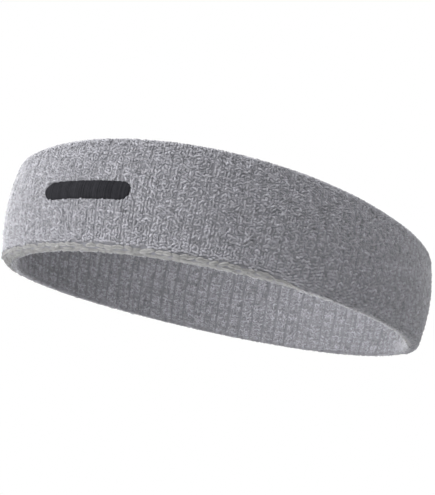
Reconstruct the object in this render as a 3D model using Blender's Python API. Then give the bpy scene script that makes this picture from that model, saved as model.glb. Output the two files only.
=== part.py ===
"""Terry sweatband for the head, stretched to the shape it has when worn.

A knitted terry tube is folded double at its top edge, and its two open edges are linked together along
the lower rim.  Elastic threads lie in the knit, and a satin-stitched bar marks the front.

Metres, +Z up.  The lower rim lies on z = 0 and the front of the oval points to -Y.
"""

import math

import bmesh
import bpy
import numpy as np
from mathutils import Vector

# ---- Driving dimensions, in metres ----
MM = 0.001
RIM_LENGTH = 218.6 * MM             # outside of the lower rim, front to back
RIM_WIDTH = 167.8 * MM              # outside of the lower rim, side to side, at half its length
BAND_HEIGHT = 44.3 * MM
BAND_THICKNESS = 6.9 * MM           # outer wall, inner wall and what lies between them
SQUARENESS = 2.133                  # exponent of the oval, where 2 is an ellipse
FRONT_WIDENING = 0.122              # share by which the front is wider than the middle
TOP_FLARE = 0.019                   # share by which the top edge is larger than the lower rim
MID_BULGE = 2.5 * MM                # how far the walls bow outward at half height

GAP = 0.3 * MM                      # between one piece and the next
PILE_THICKNESS = 1.35 * MM          # terry loops on each face
GROUND_THICKNESS = 0.35 * MM        # base knit behind the loops
FOLD_RADIUS = 3.2 * MM
RIM_RADIUS = 1.2 * MM
MOUTH_WIDTH = 1.6 * MM              # slot between the two linked edges
LIP_HEIGHT = 1.6 * MM               # height of the turned-in edges on either side of the slot

LINKING_THREAD_RADIUS = MOUTH_WIDTH / 2 - GAP
LINKING_THREAD_HEIGHT = 0.7 * MM

ELASTIC_RADIUS = 0.25 * MM
ELASTICS_PER_WALL = 6
ELASTIC_PITCH = 6.3 * MM
LOWEST_ELASTIC = 4.5 * MM
ELASTIC_DEPTH = PILE_THICKNESS + GROUND_THICKNESS + 2 * GAP + ELASTIC_RADIUS

EMBLEM_LENGTH = 40.0 * MM
EMBLEM_WIDTH = 7.0 * MM
EMBLEM_ARC = 28.9 * MM              # round the rim from the front to the middle of the emblem
EMBLEM_HEIGHT = 22.4 * MM
EMBLEM_PROUD = 0.15 * MM            # above the tips of the loops around it
EMBLEM_SUNK = 0.5 * MM              # below the tips of the loops around it
BACKING_MARGIN = 3.5 * MM           # stabiliser beyond the stitches, all round
PLY = 0.2 * MM                      # thickness of the stabiliser and of the bobbin stitches
BACKING_DEPTH = ELASTIC_DEPTH + ELASTIC_RADIUS + GAP
BOBBIN_DEPTH = BACKING_DEPTH + PLY + GAP

# ---- Mesh resolution ----
STATIONS = 56                       # cross-sections round the band
WALL_LEVELS = [share * BAND_HEIGHT for share in (0.25, 0.5, 0.75)]
FOLD_STEPS = 3
RIM_STEPS = 2
THREAD_SIDES = 5
END_STEPS = 3                       # columns in each round end of a plate
END_ANGLE = math.radians(75)        # where a round end is cut off square
OUTLINE_STEPS = 4000
SHARP_ANGLE = math.radians(40)

# ---- Colours: base colour, roughness, metallic ----
FINISHES = {
    "grey_terry": ((0.33, 0.33, 0.36), 0.95, 0.0),
    "grey_ground_knit": ((0.26, 0.26, 0.29), 0.85, 0.0),
    "white_elastic": ((0.75, 0.74, 0.70), 0.70, 0.0),
    "grey_linking_thread": ((0.36, 0.35, 0.35), 0.80, 0.0),
    "black_embroidery_thread": ((0.012, 0.012, 0.014), 0.45, 0.0),
    "white_stabiliser": ((0.80, 0.80, 0.78), 0.90, 0.0),
    "black_bobbin_thread": ((0.02, 0.02, 0.02), 0.60, 0.0),
}


def clear_scene():
    for thing in list(bpy.data.objects):
        bpy.data.objects.remove(thing, do_unlink=True)


def make_material(name):
    colour, roughness, metallic = FINISHES[name]
    material = bpy.data.materials.new(name)
    material.use_nodes = True
    shader = material.node_tree.nodes["Principled BSDF"]
    shader.inputs["Base Color"].default_value = (*colour, 1.0)
    shader.inputs["Roughness"].default_value = roughness
    shader.inputs["Metallic"].default_value = metallic
    return material


# ---- The oval that everything follows ----
def rim_outline():
    """Evenly spaced points of the lower rim's outside, their outward normals, and the rim's length."""
    angle = np.linspace(0.0, 2.0 * math.pi, OUTLINE_STEPS + 1)
    power = 2.0 / SQUARENESS
    back = -np.cos(angle)
    side = np.sin(angle)
    y_unit = np.sign(back) * np.abs(back) ** power
    x_unit = np.sign(side) * np.abs(side) ** power * (1.0 - FRONT_WIDENING * y_unit)
    x = RIM_WIDTH / 2 * x_unit
    y = RIM_LENGTH / 2 * y_unit
    run = np.concatenate(([0.0], np.cumsum(np.hypot(np.diff(x), np.diff(y)))))
    even = np.linspace(0.0, run[-1], STATIONS, endpoint=False)
    points = np.column_stack((np.interp(even, run, x), np.interp(even, run, y)))
    along = np.roll(points, -1, axis=0) - np.roll(points, 1, axis=0)
    normals = np.column_stack((along[:, 1], -along[:, 0]))
    normals /= np.linalg.norm(normals, axis=1)[:, None]
    return points, normals, run[-1]


RIM_POINTS, RIM_NORMALS, RIM_PERIMETER = rim_outline()
STATION_PITCH = RIM_PERIMETER / STATIONS


def station_point(station, depth, height):
    """A point at a whole station, at a depth in from the outside and a height above the rim."""
    share = height / BAND_HEIGHT
    outward = MID_BULGE * math.sin(math.pi * share) - depth
    x, y = RIM_POINTS[station % STATIONS] * (1.0 + TOP_FLARE * share)
    normal_x, normal_y = RIM_NORMALS[station % STATIONS]
    return Vector((x + normal_x * outward, y + normal_y * outward, height))


def band_point(station, depth, height):
    """The same at any station, on the flat facet between its two neighbours."""
    before = math.floor(station)
    first = station_point(before, depth, height)
    second = station_point(before + 1, depth, height)
    return first.lerp(second, station - before)


# ---- Cross-sections, as (depth, height) points ----
def arc(centre, radius, start, end, steps):
    angles = np.radians(np.linspace(start, end, steps + 1))
    return [(centre[0] + radius * math.cos(a), centre[1] + radius * math.sin(a)) for a in angles]


def fold_line(inset, foot):
    """Up the outer wall, over the fold and down the inner wall, at an inset from the surface."""
    inner = BAND_THICKNESS - inset
    fold_height = BAND_HEIGHT - FOLD_RADIUS
    radius = FOLD_RADIUS - inset
    rise = [(inset, foot)] + [(inset, level) for level in WALL_LEVELS]
    fold = arc((FOLD_RADIUS, fold_height), radius, 180, 90, FOLD_STEPS)
    fold += arc((BAND_THICKNESS - FOLD_RADIUS, fold_height), radius, 90, 0, FOLD_STEPS)
    fall = [(inner, level) for level in reversed(WALL_LEVELS)] + [(inner, foot)]
    return rise + fold + fall


def terry_profile():
    """Both walls, the fold and the two turned-in edges, with a slot between the edges."""
    outer_edge = (BAND_THICKNESS - MOUTH_WIDTH) / 2
    inner_edge = BAND_THICKNESS - outer_edge
    outer_rim = arc((RIM_RADIUS, RIM_RADIUS), RIM_RADIUS, 270, 180, RIM_STEPS)[:-1]
    inner_rim = arc((BAND_THICKNESS - RIM_RADIUS, RIM_RADIUS), RIM_RADIUS, 0, -90, RIM_STEPS)[1:]
    outside = [(outer_edge, 0.0)] + outer_rim + fold_line(0.0, RIM_RADIUS) + inner_rim + [(inner_edge, 0.0)]
    cavity = fold_line(PILE_THICKNESS, LIP_HEIGHT)
    inside = [(outer_edge, LIP_HEIGHT)] + cavity + [(inner_edge, LIP_HEIGHT)]
    return outside + inside[::-1]


def ground_profile():
    foot = LIP_HEIGHT + GAP
    facing_pile = fold_line(PILE_THICKNESS + GAP, foot)
    facing_cavity = fold_line(PILE_THICKNESS + GAP + GROUND_THICKNESS, foot)
    return facing_pile + facing_cavity[::-1]


def thread_profile(depth, height, radius):
    return arc((depth, height), radius, 90, 450, THREAD_SIDES)[:-1]


# ---- Solids ----
def finish(name, bm, parent, material=None):
    bmesh.ops.recalc_face_normals(bm, faces=bm.faces)
    mesh = bpy.data.meshes.new(name)
    bm.to_mesh(mesh)
    bm.free()
    mesh.shade_smooth()
    mesh.set_sharp_from_angle(angle=SHARP_ANGLE)
    if material:
        mesh.materials.append(material)
    piece = bpy.data.objects.new(name, mesh)
    piece.parent = parent
    bpy.context.scene.collection.objects.link(piece)
    return piece


def swept_ring(name, profile, parent, material):
    """A closed ring: one cross-section carried all round the band."""
    bm = bmesh.new()
    rings = []
    for station in range(STATIONS):
        rings.append([bm.verts.new(band_point(station, *point)) for point in profile])
    for ring, following in zip(rings, rings[1:] + rings[:1]):
        for corner in range(len(profile)):
            after = (corner + 1) % len(profile)
            bm.faces.new((ring[corner], ring[after], following[after], following[corner]))
    return finish(name, bm, parent, material)


def plate_columns(length, width):
    """Stations across a round-ended plate, each with its half width there."""
    radius = width / 2
    straight = length / 2 - radius
    middle = EMBLEM_ARC / STATION_PITCH
    columns = {}
    for step in range(END_STEPS + 1):
        angle = END_ANGLE * step / END_STEPS
        reach = (straight + radius * math.sin(angle)) / STATION_PITCH
        columns[middle - reach] = columns[middle + reach] = radius * math.cos(angle)
    first = math.ceil(middle - straight / STATION_PITCH)
    last = math.floor(middle + straight / STATION_PITCH)
    for station in range(first, last + 1):
        columns[station] = radius
    return sorted(columns.items())


def wall_plate(name, length, width, outer_depth, inner_depth, parent, material=None):
    """A round-ended plate centred on the emblem, which follows the band from one depth to another."""
    bm = bmesh.new()
    sections = []
    for station, half_width in plate_columns(length, width):
        low = EMBLEM_HEIGHT - half_width
        high = EMBLEM_HEIGHT + half_width
        corners = ((outer_depth, low), (outer_depth, high), (inner_depth, high), (inner_depth, low))
        sections.append([bm.verts.new(band_point(station, *corner)) for corner in corners])
    for section, following in zip(sections, sections[1:]):
        for corner in range(4):
            after = (corner + 1) % 4
            bm.faces.new((section[corner], section[after], following[after], following[corner]))
    bm.faces.new(sections[0])
    bm.faces.new(sections[-1])
    return finish(name, bm, parent, material)


# ---- Sub-parts ----
def make_folded_terry_tube(parent):
    tube = swept_ring("folded_terry_tube", terry_profile(), parent, make_material("grey_terry"))
    cutter = wall_plate("emblem_pocket_cutter", EMBLEM_LENGTH + 2 * GAP, EMBLEM_WIDTH + 2 * GAP,
                        -PILE_THICKNESS, EMBLEM_SUNK + GAP, parent)
    cutter.hide_render = True
    cutter.display_type = "WIRE"
    pocket = tube.modifiers.new("emblem_pocket", "BOOLEAN")
    pocket.operation = "DIFFERENCE"
    pocket.object = cutter


def make_ground_knit(parent):
    swept_ring("ground_knit", ground_profile(), parent, make_material("grey_ground_knit"))


def make_linking_thread(parent):
    profile = thread_profile(BAND_THICKNESS / 2, LINKING_THREAD_HEIGHT, LINKING_THREAD_RADIUS)
    swept_ring("linking_thread", profile, parent, make_material("grey_linking_thread"))


def make_elastic_threads(parent):
    """Rings of elastic in both walls; those of the inner wall lie half a pitch higher."""
    material = make_material("white_elastic")
    for wall, depth, rise in (("outer", ELASTIC_DEPTH, 0.0),
                              ("inner", BAND_THICKNESS - ELASTIC_DEPTH, ELASTIC_PITCH / 2)):
        for count in range(ELASTICS_PER_WALL):
            height = LOWEST_ELASTIC + rise + count * ELASTIC_PITCH
            profile = thread_profile(depth, height, ELASTIC_RADIUS)
            swept_ring(f"elastic_thread_{wall}_{count + 1}", profile, parent, material)


def make_emblem(parent):
    """Satin stitches in the pocket, and their stabiliser and bobbin stitches behind the outer wall."""
    wall_plate("emblem_stitching", EMBLEM_LENGTH, EMBLEM_WIDTH, -EMBLEM_PROUD, EMBLEM_SUNK,
               parent, make_material("black_embroidery_thread"))
    wall_plate("emblem_backing", EMBLEM_LENGTH + 2 * BACKING_MARGIN, EMBLEM_WIDTH + 2 * BACKING_MARGIN,
               BACKING_DEPTH, BACKING_DEPTH + PLY, parent, make_material("white_stabiliser"))
    wall_plate("emblem_bobbin_stitching", EMBLEM_LENGTH, EMBLEM_WIDTH, BOBBIN_DEPTH, BOBBIN_DEPTH + PLY,
               parent, make_material("black_bobbin_thread"))


def build_headband():
    clear_scene()
    headband = bpy.data.objects.new("headband", None)
    bpy.context.scene.collection.objects.link(headband)
    make_folded_terry_tube(headband)
    make_ground_knit(headband)
    make_linking_thread(headband)
    make_elastic_threads(headband)
    make_emblem(headband)


build_headband()
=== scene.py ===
"""Looks of the terry sweatband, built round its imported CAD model.

The cloth is described in band coordinates: s runs round the band from the front towards +X, q runs round
the cross-section from the linking seam up the outer wall, over the fold and down the inner wall, and lift
is the distance out from the surface that the tips of the loops make.  All lengths are in metres.
"""

import math

import bpy
import numpy as np
from mathutils import Matrix, Vector


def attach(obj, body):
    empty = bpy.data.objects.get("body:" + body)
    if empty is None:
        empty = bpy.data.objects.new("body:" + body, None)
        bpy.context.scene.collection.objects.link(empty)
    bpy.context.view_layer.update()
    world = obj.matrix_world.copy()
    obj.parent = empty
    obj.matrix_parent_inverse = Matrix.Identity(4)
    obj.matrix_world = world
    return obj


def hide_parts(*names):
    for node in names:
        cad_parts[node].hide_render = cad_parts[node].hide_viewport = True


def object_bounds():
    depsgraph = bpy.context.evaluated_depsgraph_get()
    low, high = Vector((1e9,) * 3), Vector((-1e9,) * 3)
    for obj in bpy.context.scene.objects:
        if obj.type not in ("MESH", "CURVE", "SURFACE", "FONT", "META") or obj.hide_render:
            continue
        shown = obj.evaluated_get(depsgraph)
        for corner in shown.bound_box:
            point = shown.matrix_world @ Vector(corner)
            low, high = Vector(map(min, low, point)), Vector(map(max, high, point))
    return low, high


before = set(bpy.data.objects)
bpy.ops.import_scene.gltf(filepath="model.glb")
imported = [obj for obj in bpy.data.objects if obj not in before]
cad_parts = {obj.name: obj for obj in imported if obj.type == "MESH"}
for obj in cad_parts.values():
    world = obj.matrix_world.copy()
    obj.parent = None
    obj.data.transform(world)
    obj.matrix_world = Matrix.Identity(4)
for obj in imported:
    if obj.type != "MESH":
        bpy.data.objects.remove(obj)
cad_low, cad_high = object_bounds()

MM = 0.001

# ---- The band, as in the CAD model ----
RIM_LENGTH = 218.6 * MM
RIM_WIDTH = 167.8 * MM
BAND_HEIGHT = cad_high[2] - cad_low[2]
BAND_THICKNESS = 6.9 * MM
SQUARENESS = 2.133
FRONT_WIDENING = 0.122
TOP_FLARE = 0.019
MID_BULGE = 2.5 * MM
FOLD_RADIUS = 2.8 * MM
RIM_RADIUS = 2.3 * MM
EMBLEM_LENGTH = 40.0 * MM
EMBLEM_WIDTH = 7.0 * MM
EMBLEM_ARC = 28.9 * MM
EMBLEM_HEIGHT = 22.4 * MM

# ---- The knit ----
CLOTH_LIFT = -0.80 * MM             # base knit below the tips of the loops
CLOTH_THICKNESS = 0.35 * MM
CLOTH_POINTS = 560                  # of the visible cloth round the band
WALES = 168                         # ribs of pile round the band
COURSE_PITCH = 2.10 * MM            # from one course of the knit to the next, each two rows of loops
OUTER_EDGE = 5.1 * MM               # from the middle of the underside up to the first loops outside
INNER_EDGE = 2.6 * MM               # and to the first loops inside
OUTER_CHANNEL = 0.07                # share of its pitch by which each rib outside draws together
INNER_CHANNEL = 0.20                # and inside
SIDE_COLUMN = 0.32                  # share of the pitch from a rib's middle to the loops at its sides
PAIRING = 0.09                      # share of the pitch by which the ribs inside lean towards each other
ROWS_UNDER = 5                      # more rows of loops at each end, where the pile closes over the seam
SECTORS = 6                         # pieces that each wall's loops are made in

# ---- One loop, as mean and spread where there are two values ----
YARN_RADIUS = 0.46 * MM
LOOP_HALF_LENGTH = (0.64, 0.12)     # mm
LOOP_BOW = (0.12, 0.14)             # mm that its middle bends aside
LOOP_TURN = 50                      # degrees of spread from the way round the band
LOOP_LEAN = -26                     # degrees that the loops at a rib's sides turn away
LOOP_CROWN = (-0.04, 0.045)         # mm that its crown stands above the surface of the tips
LOOP_TONE = (0.64, 0.11)            # from 0, the darkest yarn, to 1
INNER_PAINTED_LIGHT = 0.18                   # the loops inside are lighter by this, a painted light on the inner wall
RIM_PAINTED_SHADE = 0.7                     # and the loops turned in at the rim are darker by this, a painted shade
LOOP_RINGS = 6
LOOP_SIDES = 4

# ---- The linked edge ----
ROLL_IN = 5.6 * MM                  # how far it rolls inwards round the right side
ROLL_OUT = 3.4 * MM                 # and outwards round the back and the left side
ROLL_START = 5.0 * MM               # from the seam, where the roll begins to fade
ROLL_FADE = 18.0 * MM               # and over what length
# Shares of the way round, from the front: where it starts, is full, begins to end and has ended.
INWARD_STRETCH = (0.16, 0.23, 0.37, 0.42)
OUTWARD_STRETCH = (0.40, 0.46, 0.87, 0.97)
COVERED_STRETCH = (0.16, 0.23, 0.45, 0.51)
SEAM_RINGS = 8
# Each ridge of stitches: height up the outer wall, pitch, radius and depth in mm, and tone.
SEAM_RIDGES = (
    (3.95, 2.9, 0.46, -1.00, 0.60),
    (1.90, 3.7, 0.50, -1.50, 0.40),
    (0.90, 3.1, 0.50, -1.50, 0.40),
    (-0.10, 4.0, 0.50, -1.50, 0.40),
    (-1.10, 3.4, 0.50, -1.50, 0.40),
)

# ---- The emblem's stitches ----
SATIN_PITCH = 0.34 * MM
SATIN_RADIUS = 0.23 * MM
SATIN_RINGS = 11

# ---- The camera ----
CAMERA_AZIMUTH = 50.0               # degrees from the front towards +X
CAMERA_ELEVATION = -13.5
CAMERA_ROLL = math.radians(10.1)
CAMERA_DISTANCE = 380.0 * MM
CAMERA_RIGHT = -8.3 * MM
CAMERA_UP = 11.5 * MM
CAMERA_AIM = 21.3 * MM              # height that the camera aims at before the shifts
LENS = 56.4

# ---- The studio ----
LIGHT_DISTANCE = 0.9
WORLD_FILL = 0.10                   # how much the white background lights the band
# Each soft light: azimuth, elevation, strength and how wide it looks, in degrees.
SOFT_LIGHTS = {"key": (26, 45, 4.5, 90), "side": (120, 45, 0.2, 90), "rear": (240, 15, 1.8, 60)}
PANEL = (-10, -25, 7.4)             # azimuth, elevation and watts
PANEL_SIZE = 0.6
FLOOR_HEIGHT = -1.2
FLOOR_RADIUS = 6.0

# ---- The cloth simulation ----
SIM_AROUND = 160                    # points of the coarse cloth round the band
SIM_ACROSS = 32                     # and round the cross-section
SIM_FRAMES = 20
SIM_PRESSURE = 12.0
SIM_MASS = 0.002
EVEN_PUSH = 0.65                    # share of the pressure that is the same all round
UNEVEN_PUSH = 0.35                  # and that comes and goes in waves
INNER_PUSH = 0.04                   # share of the push that the inner wall feels, which lies on the head
HELD_EDGE = 4.0 * MM                # the cloth is held this far from the seam
SHRINK_LIMIT = -0.1 * MM
SWELL_LIMIT = 0.4 * MM

SEED = 7


# ---- Band coordinates ----
def rim_table(steps=6000):
    """Run, x, y and outward normal of the lower rim's outside at many even steps."""
    angle = np.linspace(0.0, 2.0 * math.pi, steps + 1)
    power = 2.0 / SQUARENESS
    back, side = -np.cos(angle), np.sin(angle)
    y_unit = np.sign(back) * np.abs(back) ** power
    x_unit = np.sign(side) * np.abs(side) ** power * (1.0 - FRONT_WIDENING * y_unit)
    x, y = RIM_WIDTH / 2 * x_unit, RIM_LENGTH / 2 * y_unit
    run = np.concatenate(([0.0], np.cumsum(np.hypot(np.diff(x), np.diff(y)))))
    even = np.linspace(0.0, run[-1], steps + 1)
    x, y = np.interp(even, run, x), np.interp(even, run, y)
    dx = np.roll(x[:-1], -1) - np.roll(x[:-1], 1)
    dy = np.roll(y[:-1], -1) - np.roll(y[:-1], 1)
    size = np.hypot(dx, dy)
    normal_x, normal_y = np.append(dy / size, dy[0] / size[0]), np.append(-dx / size, -dx[0] / size[0])
    return even, x, y, normal_x, normal_y


def arc_points(centre, radius, start, end, steps=24):
    """Points along an arc about its centre, between two angles in degrees."""
    angle = np.radians(np.linspace(start, end, steps + 1))
    return np.column_stack((centre[0] + radius * np.cos(angle), centre[1] + radius * np.sin(angle)))


def section_table():
    """Run, depth, height and outward normal round the cross-section, from the seam and back to it."""
    seam = np.array([[BAND_THICKNESS / 2, 0.0]])
    top = BAND_HEIGHT - FOLD_RADIUS
    path = np.vstack((
        seam,
        arc_points((RIM_RADIUS, RIM_RADIUS), RIM_RADIUS, 270, 180),
        arc_points((FOLD_RADIUS, top), FOLD_RADIUS, 180, 90),
        arc_points((BAND_THICKNESS - FOLD_RADIUS, top), FOLD_RADIUS, 90, 0),
        arc_points((BAND_THICKNESS - RIM_RADIUS, RIM_RADIUS), RIM_RADIUS, 0, -90),
        seam,
    ))
    run = np.concatenate(([0.0], np.cumsum(np.hypot(*np.diff(path, axis=0).T))))
    even = np.linspace(0.0, run[-1], 3000)
    depth, height = np.interp(even, run, path[:, 0]), np.interp(even, run, path[:, 1])
    along_depth, along_height = np.gradient(depth), np.gradient(height)
    size = np.hypot(along_depth, along_height)
    return even, depth, height, -along_height / size, along_depth / size


RIM = rim_table()
SECTION = section_table()
PERIMETER = RIM[0][-1]
SECTION_LENGTH = SECTION[0][-1]
WALE_PITCH = PERIMETER / WALES
SWELL = np.zeros((SIM_AROUND, SIM_ACROSS))


def smooth_band(s, q, lift):
    """Points in space from band coordinates, which are arrays of one shape, before the cloth swells."""
    run, *rim = RIM
    x, y, normal_x, normal_y = (np.interp(np.mod(s, PERIMETER), run, values) for values in rim)
    run, *section = SECTION
    q = np.mod(q, SECTION_LENGTH)
    depth, height, normal_depth, normal_height = (np.interp(q, run, values) for values in section)
    depth = depth + normal_depth * lift
    height = height + normal_height * lift
    share = height / BAND_HEIGHT
    grow = 1.0 + TOP_FLARE * share
    outward = MID_BULGE * np.sin(math.pi * np.clip(share, 0.0, 1.0)) - depth
    return np.stack((x * grow + normal_x * outward, y * grow + normal_y * outward, height), axis=-1)


def swell_at(s, q):
    """How far the settled cloth stands out from the smooth band, between the simulated grid's points."""
    around, across = SWELL.shape
    i = np.mod(s, PERIMETER) / PERIMETER * around
    j = np.mod(q, SECTION_LENGTH) / SECTION_LENGTH * across
    low_i, low_j = np.floor(i).astype(int), np.floor(j).astype(int)
    part_i, part_j = i - low_i, j - low_j
    i0, i1, j0, j1 = low_i % around, (low_i + 1) % around, low_j % across, (low_j + 1) % across
    first = SWELL[i0, j0] * (1 - part_j) + SWELL[i0, j1] * part_j
    second = SWELL[i1, j0] * (1 - part_j) + SWELL[i1, j1] * part_j
    return first * (1 - part_i) + second * part_i


def on_band(s, q, lift):
    """Points in space from band coordinates, on the settled cloth."""
    return smooth_band(s, q, lift + swell_at(s, q))


def height_to_run(height):
    """The q of a height on the outer wall."""
    run, _, heights, *_ = SECTION
    rising = run < SECTION_LENGTH / 2
    return float(np.interp(height, heights[rising], run[rising]))


def waves(x, period, rng, octaves=3):
    """Smooth random waves of x, from -1 to 1 or so, that repeat after the perimeter."""
    total = np.zeros_like(x)
    for octave in range(octaves):
        count = max(1, round(PERIMETER / period * 2 ** octave))
        for shift in (0, 1, 2):
            phase = rng.uniform(0, 2 * math.pi)
            total += np.sin(2 * math.pi * (count + shift) * x / PERIMETER + phase) / 2 ** octave / 3
    return total


def smooth_step(x):
    """Rises gently from 0 to 1 as x does, and stays at either end beyond."""
    x = np.clip(x, 0.0, 1.0)
    return x * x * (3.0 - 2.0 * x)


def along_stretch(s, stretch):
    """From 0 to 1 over the start of a stretch of the band, and back to 0 over its end."""
    share = np.mod(s, PERIMETER) / PERIMETER
    starts, full, ending, ended = stretch
    return smooth_step((share - starts) / (full - starts)) * smooth_step((ended - share) / (ended - ending))


def covered(s):
    """How fully the pile closes over the seam."""
    return along_stretch(s, COVERED_STRETCH)


def rim_distance(q):
    """How far q is from the linking seam, along either wall."""
    return np.minimum(q, SECTION_LENGTH - q)


def rolled(s, q):
    """Shifts q near the rim by the roll of the linked edge."""
    roll = ROLL_IN * along_stretch(s, INWARD_STRETCH) - ROLL_OUT * along_stretch(s, OUTWARD_STRETCH)
    return q - roll * (1.0 - smooth_step((rim_distance(q) - ROLL_START) / ROLL_FADE))


# ---- Meshes ----
def quad_mesh(name, points, quads, attributes=()):
    """A smooth mesh from arrays; attributes are (name, one value or vector for each point)."""
    mesh = bpy.data.meshes.new(name)
    mesh.vertices.add(len(points))
    mesh.vertices.foreach_set("co", points.astype(np.float32).ravel())
    mesh.loops.add(quads.size)
    mesh.loops.foreach_set("vertex_index", quads.astype(np.int32).ravel())
    mesh.polygons.add(len(quads))
    mesh.polygons.foreach_set("loop_start", np.arange(0, quads.size, 4, dtype=np.int32))
    mesh.update(calc_edges=True)
    for label, values in attributes:
        kind, field = ("FLOAT", "value") if values.ndim == 1 else ("FLOAT_VECTOR", "vector")
        layer = mesh.attributes.new(label, kind, "POINT")
        layer.data.foreach_set(field, values.astype(np.float32).ravel())
    mesh.shade_smooth()
    piece = bpy.data.objects.new(name, mesh)
    bpy.context.scene.collection.objects.link(piece)
    return piece


def map_for_bake(piece, s, q, s_range, q_range):
    """A texture map that lays the piece's band coordinates out flat."""
    mesh = piece.data
    corners = np.zeros(len(mesh.loops), np.int32)
    mesh.loops.foreach_get("vertex_index", corners)
    u = (s - s_range[0]) / (s_range[1] - s_range[0])
    v = (q - q_range[0]) / (q_range[1] - q_range[0])
    layer = mesh.uv_layers.new(name="OFBake")
    layer.data.foreach_set("uv", np.stack((u, v), axis=-1)[corners].astype(np.float32).ravel())


def grid_quads(index, around, across):
    """Quads of a grid that closes both ways, where index gives a point's number from its two places."""
    i, j = np.meshgrid(np.arange(around), np.arange(across), indexing="ij")
    corners = (index(i, j), index(i + 1, j), index(i + 1, j + 1), index(i, j + 1))
    return np.stack(corners, axis=-1).reshape(-1, 4)


def tube_quads(tubes, rings, sides):
    """Quads of many tubes of 4 or 6 sides with closed ends; points run tube by tube and ring by ring."""
    ring = np.arange(rings - 1)[:, None] * sides
    side = np.arange(sides)[None, :]
    after = (side + 1) % sides
    wall = np.stack((ring + side, ring + after, ring + sides + after, ring + sides + side), axis=-1)
    near = [[3, 2, 1, 0]] if sides == 4 else [[0, 3, 2, 1], [0, 5, 4, 3]]
    far = [[0, 1, 2, 3]] if sides == 4 else [[0, 1, 2, 3], [0, 3, 4, 5]]
    one = np.vstack((wall.reshape(-1, 4), near, np.array(far) + (rings - 1) * sides))
    return (np.arange(tubes)[:, None, None] * rings * sides + one[None]).reshape(-1, 4)


def tubes(centres, radii, side_axis, sides):
    """Points of many tubes in band coordinates, with tubes by rings by sides by 3.

    centres is tubes by rings by 3, radii tubes by rings, and side_axis one direction for each tube that
    is never along it.
    """
    along = np.gradient(centres, axis=1)
    along /= np.linalg.norm(along, axis=-1, keepdims=True)
    across = side_axis[:, None, :] - along * (side_axis[:, None, :] * along).sum(-1, keepdims=True)
    across /= np.linalg.norm(across, axis=-1, keepdims=True)
    up = np.cross(along, across)
    angle = 2 * math.pi * np.arange(sides) / sides
    ring = (across[:, :, None, :] * np.cos(angle)[None, None, :, None]
            + up[:, :, None, :] * np.sin(angle)[None, None, :, None])
    return centres[:, :, None, :] + ring * radii[:, :, None, None]


def tube_piece(name, centres, radii, side_axis, sides, tone):
    """A piece of many tubes given in band coordinates, with one tone for each tube."""
    points = tubes(centres, radii, side_axis, sides)
    count, rings = centres.shape[:2]
    flat = points.reshape(-1, 3)
    values = np.repeat(tone, rings * sides)
    s, q, lift = flat.T
    places = on_band(s, q, lift)
    out = on_band(s, q, lift + MM) - places
    out /= np.linalg.norm(out, axis=-1, keepdims=True)
    piece = quad_mesh(name, places, tube_quads(count, rings, sides), [("tone", values), ("out", out)])
    return piece, s, q


# ---- Cloth simulation ----
def simulated_tube(rng):
    """The folded cloth as a coarse closed tube, held where it is stitched, unevenly pushed from within."""
    s_line = np.linspace(0.0, PERIMETER, SIM_AROUND, endpoint=False)
    q_line = np.linspace(0.0, SECTION_LENGTH, SIM_ACROSS, endpoint=False)
    s, q = np.meshgrid(s_line, q_line, indexing="ij")
    quads = grid_quads(lambda i, j: (i % SIM_AROUND) * SIM_ACROSS + j % SIM_ACROSS, SIM_AROUND, SIM_ACROSS)
    tube = quad_mesh("settling_cloth", smooth_band(s, q, CLOTH_LIFT + 0 * s).reshape(-1, 3), quads)
    held = tube.vertex_groups.new(name="held")
    push = tube.vertex_groups.new(name="push")
    stitched = (rim_distance(q) < HELD_EDGE) | in_emblem(s, q, 0.0)
    wall_share = np.where(q < SECTION_LENGTH / 2, 1.0, INNER_PUSH)
    force = (EVEN_PUSH + UNEVEN_PUSH * waves(s, 70 * MM, rng, 2)) * wall_share
    for index, (is_stitched, weight) in enumerate(zip(stitched.ravel(), force.ravel())):
        held.add([index], float(is_stitched), "REPLACE")
        push.add([index], float(np.clip(weight, 0.0, 1.0)), "REPLACE")
    return tube, s, q


def simulate_swell(rng):
    """Lets the cloth settle and returns how far each point of the grid has moved out, within limits."""
    tube, s, q = simulated_tube(rng)
    cloth = tube.modifiers.new("cloth", "CLOTH")
    settings = cloth.settings
    settings.quality = 8
    settings.mass = SIM_MASS
    settings.vertex_group_mass = "held"
    settings.use_pressure = True
    settings.uniform_pressure_force = SIM_PRESSURE
    settings.vertex_group_pressure = "push"
    settings.effector_weights.gravity = 0.0
    cloth.point_cache.frame_end = SIM_FRAMES
    scene = bpy.context.scene
    for step in range(1, SIM_FRAMES + 1):
        scene.frame_set(step)
    settled = tube.evaluated_get(bpy.context.evaluated_depsgraph_get()).data
    places = np.zeros(s.size * 3, np.float32)
    settled.vertices.foreach_get("co", places)
    start = smooth_band(s, q, CLOTH_LIFT + 0 * s)
    out = smooth_band(s, q, CLOTH_LIFT + MM + 0 * s) - start
    out /= np.linalg.norm(out, axis=-1, keepdims=True)
    moved = ((places.reshape(start.shape) - start) * out).sum(axis=-1)
    scene.frame_set(1)
    bpy.data.objects.remove(tube)
    return np.clip(moved, SHRINK_LIMIT, SWELL_LIMIT)


# ---- Materials ----
def new_material(name):
    material = bpy.data.materials.new(name)
    material.use_nodes = True
    return material, material.node_tree.nodes, material.node_tree.links


def noise(nodes, links, scale, detail=2.0, roughness=0.5):
    """Noise that lies in the piece's own space."""
    place = nodes.new("ShaderNodeTexCoord")
    texture = nodes.new("ShaderNodeTexNoise")
    texture.inputs["Scale"].default_value = scale
    texture.inputs["Detail"].default_value = detail
    texture.inputs["Roughness"].default_value = roughness
    links.new(place.outputs["Object"], texture.inputs["Vector"])
    return texture


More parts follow.
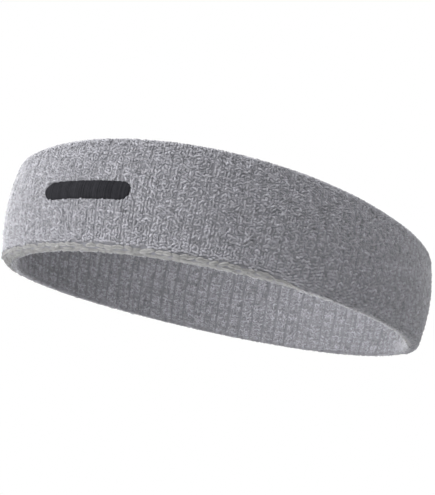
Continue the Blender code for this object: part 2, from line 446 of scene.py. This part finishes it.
def ramp(nodes, links, value, stops):
    """The colour that belongs to a value, between stops of (place, colour)."""
    colours = nodes.new("ShaderNodeValToRGB")
    for element, (place, colour) in zip(colours.color_ramp.elements, stops):
        element.position = place
        element.color = (*colour, 1.0)
    links.new(value, colours.inputs["Fac"])
    return colours.outputs["Color"]


def relief_normal(nodes, links, height, strength, distance):
    """The normal of a surface whose fine relief follows a height."""
    bump = nodes.new("ShaderNodeBump")
    bump.inputs["Strength"].default_value = strength
    bump.inputs["Distance"].default_value = distance
    links.new(height, bump.inputs["Height"])
    return bump.outputs["Normal"]


def heather_mix(nodes, links):
    """Half each loop's tone, which on the terry also holds painted light and shade, and half a finer noise.
    """
    tone = nodes.new("ShaderNodeAttribute")
    tone.attribute_name = "tone"
    half_tone = nodes.new("ShaderNodeMath")
    half_tone.operation = "MULTIPLY"
    half_tone.inputs[1].default_value = 0.5
    links.new(tone.outputs["Fac"], half_tone.inputs[0])
    mixed = nodes.new("ShaderNodeMath")
    mixed.operation = "MULTIPLY_ADD"
    mixed.inputs[1].default_value = 0.5
    links.new(noise(nodes, links, 380.0).outputs["Fac"], mixed.inputs[0])
    links.new(half_tone.outputs["Value"], mixed.inputs[2])
    return mixed.outputs["Value"]


def fuzzy_normal(nodes, links, normal, fuzz):
    """A normal that leans towards the band's outward side, as loose fibres even out the light."""
    outward_side = nodes.new("ShaderNodeAttribute")
    outward_side.attribute_name = "out"
    leaning = nodes.new("ShaderNodeVectorMath")
    leaning.operation = "MULTIPLY_ADD"
    leaning.inputs[1].default_value = (fuzz, fuzz, fuzz)
    links.new(outward_side.outputs["Vector"], leaning.inputs[0])
    links.new(normal, leaning.inputs[2])
    evened = nodes.new("ShaderNodeVectorMath")
    evened.operation = "NORMALIZE"
    links.new(leaning.outputs["Vector"], evened.inputs[0])
    return evened.outputs["Vector"]


def yarn_material(name, dark, light, sheen, glow=0.0, bump=0.35, fuzz=0.0):
    """Spun yarn that mixes darker and lighter fibres.

    Glow is the share of the light that passes through its surface, and fuzz is how far the loose fibres
    even out the light over neighbouring loops.
    """
    material, nodes, links = new_material(name)
    shader = nodes["Principled BSDF"]
    links.new(ramp(nodes, links, heather_mix(nodes, links), [(0.2, dark), (0.8, light)]),
              shader.inputs["Base Color"])
    shader.inputs["Roughness"].default_value = 0.95
    shader.inputs["Subsurface Weight"].default_value = glow
    shader.inputs["Subsurface Radius"].default_value = (1.0, 1.0, 1.0)
    shader.inputs["Subsurface Scale"].default_value = 1.4 * MM
    shader.inputs["Specular IOR Level"].default_value = 0.2
    shader.inputs["Sheen Weight"].default_value = sheen
    shader.inputs["Sheen Roughness"].default_value = 0.5
    fibres = noise(nodes, links, 1800.0, 2.0, 0.6)
    bumpy = relief_normal(nodes, links, fibres.outputs["Fac"], bump, 0.1 * MM)
    links.new(fuzzy_normal(nodes, links, bumpy, fuzz), shader.inputs["Normal"])
    return material


# ---- Terry loops ----
def loop_sites(rng):
    """Every loop of the pile: s, q, its side of the rib as -1, 0 or 1, and how low it lies."""
    rows = int(2 * (SECTION_LENGTH - OUTER_EDGE - INNER_EDGE) / COURSE_PITCH)
    all_rows = np.arange(-ROWS_UNDER, rows + ROWS_UNDER)
    column, row = np.meshgrid(np.arange(3 * WALES), all_rows, indexing="ij")
    wale = column // 3
    side = column % 3 - 1.0
    course = 0.5 * (row + 0.5) + 0.11 * (wale % 2) + 0.2 * (side == 0) + rng.normal(0, 0.12, WALES)[wale]
    q = OUTER_EDGE + course * COURSE_PITCH + rng.normal(0, 0.13 * MM, row.shape)
    inside = q > SECTION_LENGTH / 2
    off_rim = smooth_step((rim_distance(q) - 4.0 * MM) / (8.0 * MM))
    off_fold = smooth_step((np.abs(q - SECTION_LENGTH / 2) - 1.0 * MM) / (5.0 * MM))
    relief = off_rim * off_fold
    pair_up = np.where(inside, np.where(wale % 2 == 0, PAIRING, -PAIRING), 0.0) * relief
    drift = rng.normal(0, 0.03, WALES)[wale] + 0.05 * np.sin(row * 0.18 + rng.uniform(0, 6, WALES)[wale])
    channel = np.where(inside, INNER_CHANNEL, OUTER_CHANNEL) * relief * rng.uniform(0.4, 1.3, WALES)[wale]
    s = (wale + 0.5 + side * SIDE_COLUMN * (1.0 - channel) + pair_up + drift) * WALE_PITCH
    s = s + rng.normal(0, 1.0, s.shape) * (0.09 + 0.06 * inside) * MM
    tuft = rng.normal(0.0, 0.07 * MM, (WALES, rows))[wale, row // 2] * (1.0 + inside)
    low = (0.20 * MM * (row % 2) + 0.16 * MM * np.abs(side) + tuft) * relief
    there = ((row >= 0) & (row < rows)) | (covered(s) > 0.5)
    return s[there], q[there], side[there], low[there]


def in_emblem(s, q, margin):
    """Whether a point on the cloth lies under the emblem's stitches."""
    radius = EMBLEM_WIDTH / 2 + margin
    straight = EMBLEM_LENGTH / 2 - EMBLEM_WIDTH / 2
    along = np.maximum(np.abs(s - EMBLEM_ARC) - straight, 0.0)
    return np.hypot(along, q - height_to_run(EMBLEM_HEIGHT)) < radius


def pile_loops(name, s, q, side, low, rng, s_range, q_range, material):
    """Loops of soft yarn that lie over on the cloth at the given sites, the first rows along the seam."""
    count = len(s)
    t = np.linspace(-1.0, 1.0, LOOP_RINGS)[None, :]
    half_length = rng.normal(*LOOP_HALF_LENGTH, (count, 1)) * MM
    bow = rng.normal(*LOOP_BOW, (count, 1)) * MM
    turn = math.radians(LOOP_LEAN) * side[:, None] + rng.normal(0.0, math.radians(LOOP_TURN), (count, 1))
    turn *= smooth_step((q[:, None] - OUTER_EDGE) / (2.5 * MM))
    foot = CLOTH_LIFT + 0.10 * MM
    crown = -YARN_RADIUS + rng.normal(*LOOP_CROWN, (count, 1)) * MM - low[:, None]
    lift = np.minimum(foot + (crown - foot) * (1.0 - np.abs(t) ** 2.6), -0.9 * YARN_RADIUS)
    along = half_length * t
    across = bow * (1.0 - t * t)
    ds = along * np.cos(turn) - across * np.sin(turn)
    dq = along * np.sin(turn) + across * np.cos(turn)
    centres = np.stack((s[:, None] + ds, q[:, None] + dq, lift), axis=-1)
    radii = YARN_RADIUS * rng.normal(1.0, 0.07, (count, 1)) * (1.0 - 0.25 * np.abs(t) ** 3)
    side_axis = np.tile((0.03, 0.02, 1.0), (count, 1))
    inside = q > SECTION_LENGTH / 2
    # Painted light: the loops inside are given a lighter tone than the same yarn outside.
    # Painted shade: loops that lie lower, down between their neighbours, get a darker tone, more so inside.
    tone = rng.normal(*LOOP_TONE, count) + INNER_PAINTED_LIGHT * inside - np.where(inside, 0.9, 0.5) * low / MM
    # Painted shade: the loops turned in at the rim, where the pile closes over the seam, are darkened.
    turned_in = np.maximum(covered(s), inside) * (1.0 - smooth_step(rim_distance(q) / (6.0 * MM)))
    tone = np.clip(tone - RIM_PAINTED_SHADE * turned_in, 0.0, 1.0)
    piece, all_s, all_q = tube_piece(name, centres, radii, side_axis, LOOP_SIDES, tone)
    map_for_bake(piece, all_s, all_q, s_range, q_range)
    piece.data.materials.append(material)
    return piece


def make_pile(rng, material):
    """All the loops, as one piece for each sector of each wall."""
    s, q, side, low = loop_sites(rng)
    keep = ~in_emblem(s, q, 0.4 * MM)
    s, q, side, low = s[keep], rolled(s[keep], q[keep]), side[keep], low[keep]
    top = SECTION_LENGTH / 2
    for wall, start_q, end_q in (("outer", 0.0, top), ("inner", top, SECTION_LENGTH)):
        for sector in range(SECTORS):
            start, end = PERIMETER * sector / SECTORS, PERIMETER * (sector + 1) / SECTORS
            here = (q >= start_q) & (q < end_q) & (s >= start) & (s < end)
            piece = pile_loops(f"terry_loops_{wall}_{sector + 1}", s[here], q[here], side[here], low[here],
                               rng, (start - 3 * MM, end + 3 * MM), (start_q - 3 * MM, end_q + 3 * MM),
                               material)
            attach(piece, "root")
            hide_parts("folded_terry_tube")


# ---- Base cloth ----
def cloth_lift(s, q, rng):
    """The base knit lies low under the loops and rises to a rippled rolled edge at the linking seam."""
    edge = np.where(q < SECTION_LENGTH / 2, OUTER_EDGE, INNER_EDGE)
    rise = smooth_step(4.0 * np.clip(1.0 - rim_distance(q) / (edge + 0.4 * MM), 0.0, 1.0))
    ripple = 0.10 * MM * waves(s, 9 * MM, rng)
    return CLOTH_LIFT + (0.10 * MM + ripple) * rise


def make_cloth(rng, material):
    """The base knit as one closed sheet, folded double, with its outside and inside."""
    rim_steps = np.arange(0.0, OUTER_EDGE + 1.0 * MM, 0.4 * MM)
    wall_steps = np.linspace(OUTER_EDGE + 1.2 * MM, SECTION_LENGTH - INNER_EDGE - 1.2 * MM, 64)
    last_steps = SECTION_LENGTH - np.arange(0.0, INNER_EDGE + 1.0 * MM, 0.4 * MM)[::-1]
    q_line = np.concatenate((rim_steps, wall_steps, last_steps))
    s_line = np.linspace(0.0, PERIMETER, CLOTH_POINTS, endpoint=False)
    s, q = np.meshgrid(s_line, q_line, indexing="ij")
    lift = cloth_lift(s, q, rng)
    ring_q = np.hstack((q, q[:, ::-1]))
    ring_s = np.hstack((s, s))
    ring_lift = np.hstack((lift, lift[:, ::-1] - CLOTH_THICKNESS))
    points = on_band(ring_s, ring_q, ring_lift)
    around, across = ring_s.shape
    quads = grid_quads(lambda i, j: (i % around) * across + j % across, around, across)
    tone = np.full(ring_s.size, 0.5)
    piece = quad_mesh("base_knit_cloth", points.reshape(-1, 3), quads, [("tone", tone)])
    map_for_bake(piece, ring_s.ravel(), ring_q.ravel(), (0.0, PERIMETER), (0.0, SECTION_LENGTH))
    piece.data.materials.append(material)
    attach(piece, "root")
    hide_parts("ground_knit")


# ---- Linking seam ----
def ridge_strands(rng, q_ridge, pitch, strand_radius, depth):
    """Centres and radii of one uneven ridge of long overlapping stitches, each of two soft strands."""
    t = np.linspace(0.0, 1.0, SEAM_RINGS)[None, :]
    arch = np.sin(math.pi * t)
    count = round(PERIMETER / pitch)
    pitch = PERIMETER / count
    start = (np.arange(count)[:, None] + rng.normal(0, 0.18, (count, 1))) * pitch
    length = pitch * rng.normal(1.30, 0.16, (count, 1))
    slant = rng.normal(0.18, 0.40, (count, 1)) * MM
    fatness = rng.normal(1.0, 0.13, (count, 1))
    s = start + length * t
    wander = 0.34 * MM * waves(s, 13 * MM, rng, 2)
    hidden = covered(s)
    centres, radii = [], []
    for strand in (-1, 1):
        q = q_ridge + slant * (2 * t - 1) + strand * 0.42 * MM * arch ** 0.6 + wander
        lift = depth + 0.70 * MM * arch ** 0.6 + rng.normal(0, 0.10, (count, 1)) * MM - 0.5 * MM * hidden
        centres.append(np.stack((s, rolled(s, q), lift + 0 * s), axis=-1))
        radii.append(strand_radius * (0.5 + 0.5 * arch) * fatness * (1.0 - 0.3 * hidden))
    return np.vstack(centres), np.vstack(radii)


def make_seam(rng, material):
    """The linking stitches: one lumpy ridge along the terry, and four flat ones under the rim."""
    parts = []
    for q_ridge, pitch, radius, depth, mean_tone in SEAM_RIDGES:
        centres, radii = ridge_strands(rng, q_ridge * MM, pitch * MM, radius * MM, depth * MM)
        parts.append((centres, radii, np.clip(rng.normal(mean_tone, 0.15, len(centres)), 0.0, 1.0)))
    centres, radii, tone = (np.concatenate(values) for values in zip(*parts))
    side_axis = np.tile((0.0, 1.0, 0.0), (len(centres), 1))
    piece, s, q = tube_piece("linking_stitches", centres, radii, side_axis, 6, tone)
    map_for_bake(piece, s, q, (-8 * MM, PERIMETER + 8 * MM), (-8 * MM, 12 * MM))
    piece.data.materials.append(material)
    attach(piece, "root")
    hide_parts("linking_thread")


# ---- Emblem ----
def make_emblem(rng, material):
    """Satin stitches side by side across a plain bar with round ends."""
    radius = EMBLEM_WIDTH / 2
    straight = EMBLEM_LENGTH / 2 - radius
    offsets = np.arange(-EMBLEM_LENGTH / 2 + 0.25 * MM, EMBLEM_LENGTH / 2, SATIN_PITCH)
    count = len(offsets)
    past = np.maximum(np.abs(offsets) - straight, 0.0)
    half = np.sqrt(np.maximum(radius ** 2 - past ** 2, (0.5 * MM) ** 2))[:, None]
    half = half + rng.normal(0, 0.07 * MM, (count, 1))
    t = np.linspace(-1.0, 1.0, SATIN_RINGS)[None, :]
    middle = height_to_run(EMBLEM_HEIGHT)
    s = EMBLEM_ARC + offsets[:, None] + 0.22 * MM * t + rng.normal(0, 0.03 * MM, (count, 1))
    q = middle + half * t
    crown = 1.0 - np.abs(t) ** 3.0
    lift = -0.95 * MM + 0.80 * MM * crown + rng.normal(0, 0.025 * MM, (count, 1))
    centres = np.stack((s + 0 * q, q, lift + 0 * q), axis=-1)
    radii = SATIN_RADIUS * np.ones((count, SATIN_RINGS))
    side_axis = np.tile((1.0, 0.0, 0.0), (count, 1))
    tone = np.clip(rng.normal(0.5, 0.2, count), 0, 1)
    piece, all_s, all_q = tube_piece("emblem_satin_stitches", centres, radii, side_axis, 6, tone)
    reach = EMBLEM_LENGTH / 2 + MM
    map_for_bake(piece, all_s, all_q, (EMBLEM_ARC - reach, EMBLEM_ARC + reach),
                 (middle - radius - MM, middle + radius + MM))
    piece.data.materials.append(material)
    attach(piece, "root")
    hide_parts("emblem_stitching")


def make_emblem_pad(material):
    """Dense underlay below the satin stitches."""
    radius = EMBLEM_WIDTH / 2 - 0.25 * MM
    straight = EMBLEM_LENGTH / 2 - EMBLEM_WIDTH / 2
    middle = height_to_run(EMBLEM_HEIGHT)
    offsets = np.concatenate((-straight - radius * np.cos(np.linspace(0.1, 0.5, 6) * math.pi),
                              np.linspace(-straight, straight, 24)[1:-1],
                              straight + radius * np.cos(np.linspace(0.5, 0.1, 6) * math.pi)))
    past = np.maximum(np.abs(offsets) - straight, 0.0)
    half = np.sqrt(np.maximum(radius ** 2 - past ** 2, (0.4 * MM) ** 2))
    around = np.linspace(0.0, 2 * math.pi, 16, endpoint=False)
    q = middle + half[:, None] * np.cos(around)[None, :]
    lift = -0.85 * MM + 0.55 * MM * np.sin(around)[None, :] + 0 * q
    s = EMBLEM_ARC + offsets[:, None] + 0 * q
    points = on_band(s, q, lift).reshape(-1, 3)
    rings, sides = s.shape
    i, j = np.meshgrid(np.arange(rings - 1), np.arange(sides), indexing="ij")
    after = (j + 1) % sides
    ring, after_ring = i * sides, (i + 1) * sides
    quads = np.stack((ring + j, ring + after, after_ring + after, after_ring + j), axis=-1)
    caps = []
    for first, order in ((0, -1), ((rings - 1) * sides, 1)):
        for k in range(sides // 2 - 1):
            cap = [first + k, first + k + 1, first + sides - 2 - k, first + sides - 1 - k]
            caps.append(cap[::order])
    quads = np.vstack((quads.reshape(-1, 4), np.array(caps)))
    piece = quad_mesh("emblem_underlay", points, quads, [("tone", np.full(len(points), 0.4))])
    piece.data.materials.append(material)
    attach(piece, "root")


# ---- Materials of the CAD nodes that stay ----
def wrapped_thread_material(name, dark, light, turns):
    """A core thread wound closely with finer yarn, as slanting bands round it."""
    material, nodes, links = new_material(name)
    shader = nodes["Principled BSDF"]
    place = nodes.new("ShaderNodeTexCoord")
    bands = nodes.new("ShaderNodeTexWave")
    bands.bands_direction = "DIAGONAL"
    bands.inputs["Scale"].default_value = turns
    bands.inputs["Distortion"].default_value = 1.5
    bands.inputs["Detail"].default_value = 2.0
    links.new(place.outputs["Object"], bands.inputs["Vector"])
    height = bands.outputs["Fac"]
    links.new(ramp(nodes, links, height, [(0.1, dark), (0.9, light)]), shader.inputs["Base Color"])
    shader.inputs["Roughness"].default_value = 0.7
    links.new(relief_normal(nodes, links, height, 0.5, 0.05 * MM), shader.inputs["Normal"])
    return material


def felted_material(name, dark, light):
    """Non-woven cloth: long matted fibres that lie every way."""
    material, nodes, links = new_material(name)
    shader = nodes["Principled BSDF"]
    fibres = noise(nodes, links, 900.0, 5.0, 0.75)
    fibres.inputs["Distortion"].default_value = 3.0
    height = fibres.outputs["Fac"]
    links.new(ramp(nodes, links, height, [(0.35, dark), (0.65, light)]), shader.inputs["Base Color"])
    shader.inputs["Roughness"].default_value = 0.9
    links.new(relief_normal(nodes, links, height, 0.6, 0.08 * MM), shader.inputs["Normal"])
    return material


def dress_cad_nodes():
    """Elastic threads, backing and bobbin stitches keep their CAD shapes, which lie inside the band."""
    elastic = wrapped_thread_material("covered_elastic", (0.50, 0.49, 0.45), (0.78, 0.77, 0.72), 900.0)
    bobbin = wrapped_thread_material("bobbin_thread", (0.008, 0.008, 0.008), (0.035, 0.035, 0.035), 700.0)
    backing = felted_material("non_woven_backing", (0.66, 0.66, 0.63), (0.86, 0.86, 0.84))
    finishes = {"emblem_backing": backing, "emblem_bobbin_stitching": bobbin}
    for name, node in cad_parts.items():
        if name.startswith("elastic_thread_"):
            finishes[name] = elastic
        if name in finishes:
            node.data.materials.clear()
            node.data.materials.append(finishes[name])


# ---- Studio ----
def outward(azimuth, elevation):
    """The direction out of the origin at angles in degrees, with azimuth from the front towards +X."""
    azimuth, elevation = math.radians(azimuth), math.radians(elevation)
    return Vector((math.sin(azimuth) * math.cos(elevation), -math.cos(azimuth) * math.cos(elevation),
                   math.sin(elevation)))


def add_light(name, kind, azimuth, elevation, energy):
    """A light that points at the origin and is not seen by the camera; returns its settings."""
    data = bpy.data.lights.new(name, kind)
    data.energy = energy
    light = bpy.data.objects.new(name, data)
    out = outward(azimuth, elevation)
    light.rotation_euler = out.to_track_quat("Z", "Y").to_euler()
    light.location = out * LIGHT_DISTANCE
    light.visible_camera = False
    bpy.context.scene.collection.objects.link(light)
    return data


def add_lights():
    """Three wide soft lights from round about and a soft panel from below the front."""
    for name, (azimuth, elevation, strength, width) in SOFT_LIGHTS.items():
        sun = add_light(name, "SUN", azimuth, elevation, strength)
        sun.angle = math.radians(width)
    panel = add_light("panel", "AREA", *PANEL)
    panel.shape = "SQUARE"
    panel.size = PANEL_SIZE


def make_world():
    """A white background whose light on the band is only a weak fill."""
    world = bpy.data.worlds.new("studio")
    world.use_nodes = True
    nodes, links = world.node_tree.nodes, world.node_tree.links
    background = nodes["Background"]
    background.inputs["Color"].default_value = (1.0, 1.0, 1.0, 1.0)
    rays = nodes.new("ShaderNodeLightPath")
    strength = nodes.new("ShaderNodeMapRange")
    strength.inputs["To Min"].default_value = WORLD_FILL
    strength.inputs["To Max"].default_value = 1.0
    links.new(rays.outputs["Is Camera Ray"], strength.inputs["Value"])
    links.new(strength.outputs["Result"], background.inputs["Strength"])
    bpy.context.scene.world = world


def make_floor():
    """A pale floor far below the band."""
    bpy.ops.mesh.primitive_circle_add(vertices=96, radius=FLOOR_RADIUS, fill_type="NGON",
                                      location=(0, 0, FLOOR_HEIGHT))
    floor = bpy.context.object
    floor.name = "floor"
    material, nodes, links = new_material("pale_floor")
    nodes["Principled BSDF"].inputs["Base Color"].default_value = (0.95, 0.95, 0.95, 1.0)
    nodes["Principled BSDF"].inputs["Roughness"].default_value = 0.9
    floor.data.materials.append(material)


def make_camera():
    """The camera looks slightly up at the band from the front right and is rolled a little."""
    data = bpy.data.cameras.new("camera")
    data.lens = LENS
    data.sensor_width = 36.0
    data.clip_start = 0.01
    camera = bpy.data.objects.new("camera", data)
    back = outward(CAMERA_AZIMUTH, CAMERA_ELEVATION)
    level = Vector((0, 0, 1)).cross(back).normalized()
    upright = back.cross(level)
    right = math.cos(CAMERA_ROLL) * level + math.sin(CAMERA_ROLL) * upright
    up = math.cos(CAMERA_ROLL) * upright - math.sin(CAMERA_ROLL) * level
    place = back * CAMERA_DISTANCE + right * CAMERA_RIGHT + up * CAMERA_UP + Vector((0, 0, CAMERA_AIM))
    camera.matrix_world = Matrix.Translation(place) @ Matrix((right, up, back)).transposed().to_4x4()
    bpy.context.scene.collection.objects.link(camera)
    bpy.context.scene.camera = camera


def build():
    """The whole picture: the cloth is settled first, because every other piece lies on it."""
    SWELL[:] = simulate_swell(np.random.default_rng(SEED))
    rng = np.random.default_rng(SEED)
    terry = yarn_material("heather_terry_yarn", (0.08, 0.08, 0.087), (0.31, 0.31, 0.337), 0.05, 0.9,
                          bump=0.1, fuzz=1.2)
    base = yarn_material("base_knit", (0.095, 0.095, 0.104), (0.21, 0.21, 0.229), 0.05, 0.5)
    seam = yarn_material("linking_yarn", (0.12, 0.12, 0.12), (0.25, 0.249, 0.247), 0.05, 0.5,
                         bump=0.6, fuzz=0.4)
    black = yarn_material("black_satin_thread", (0.006, 0.006, 0.008), (0.02, 0.02, 0.024), 0.0)
    make_pile(rng, terry)
    make_cloth(rng, base)
    make_seam(rng, seam)
    make_emblem(rng, black)
    make_emblem_pad(black)
    dress_cad_nodes()
    make_world()
    add_lights()
    make_floor()
    make_camera()
    bpy.context.scene.view_settings.view_transform = "Standard"


build()
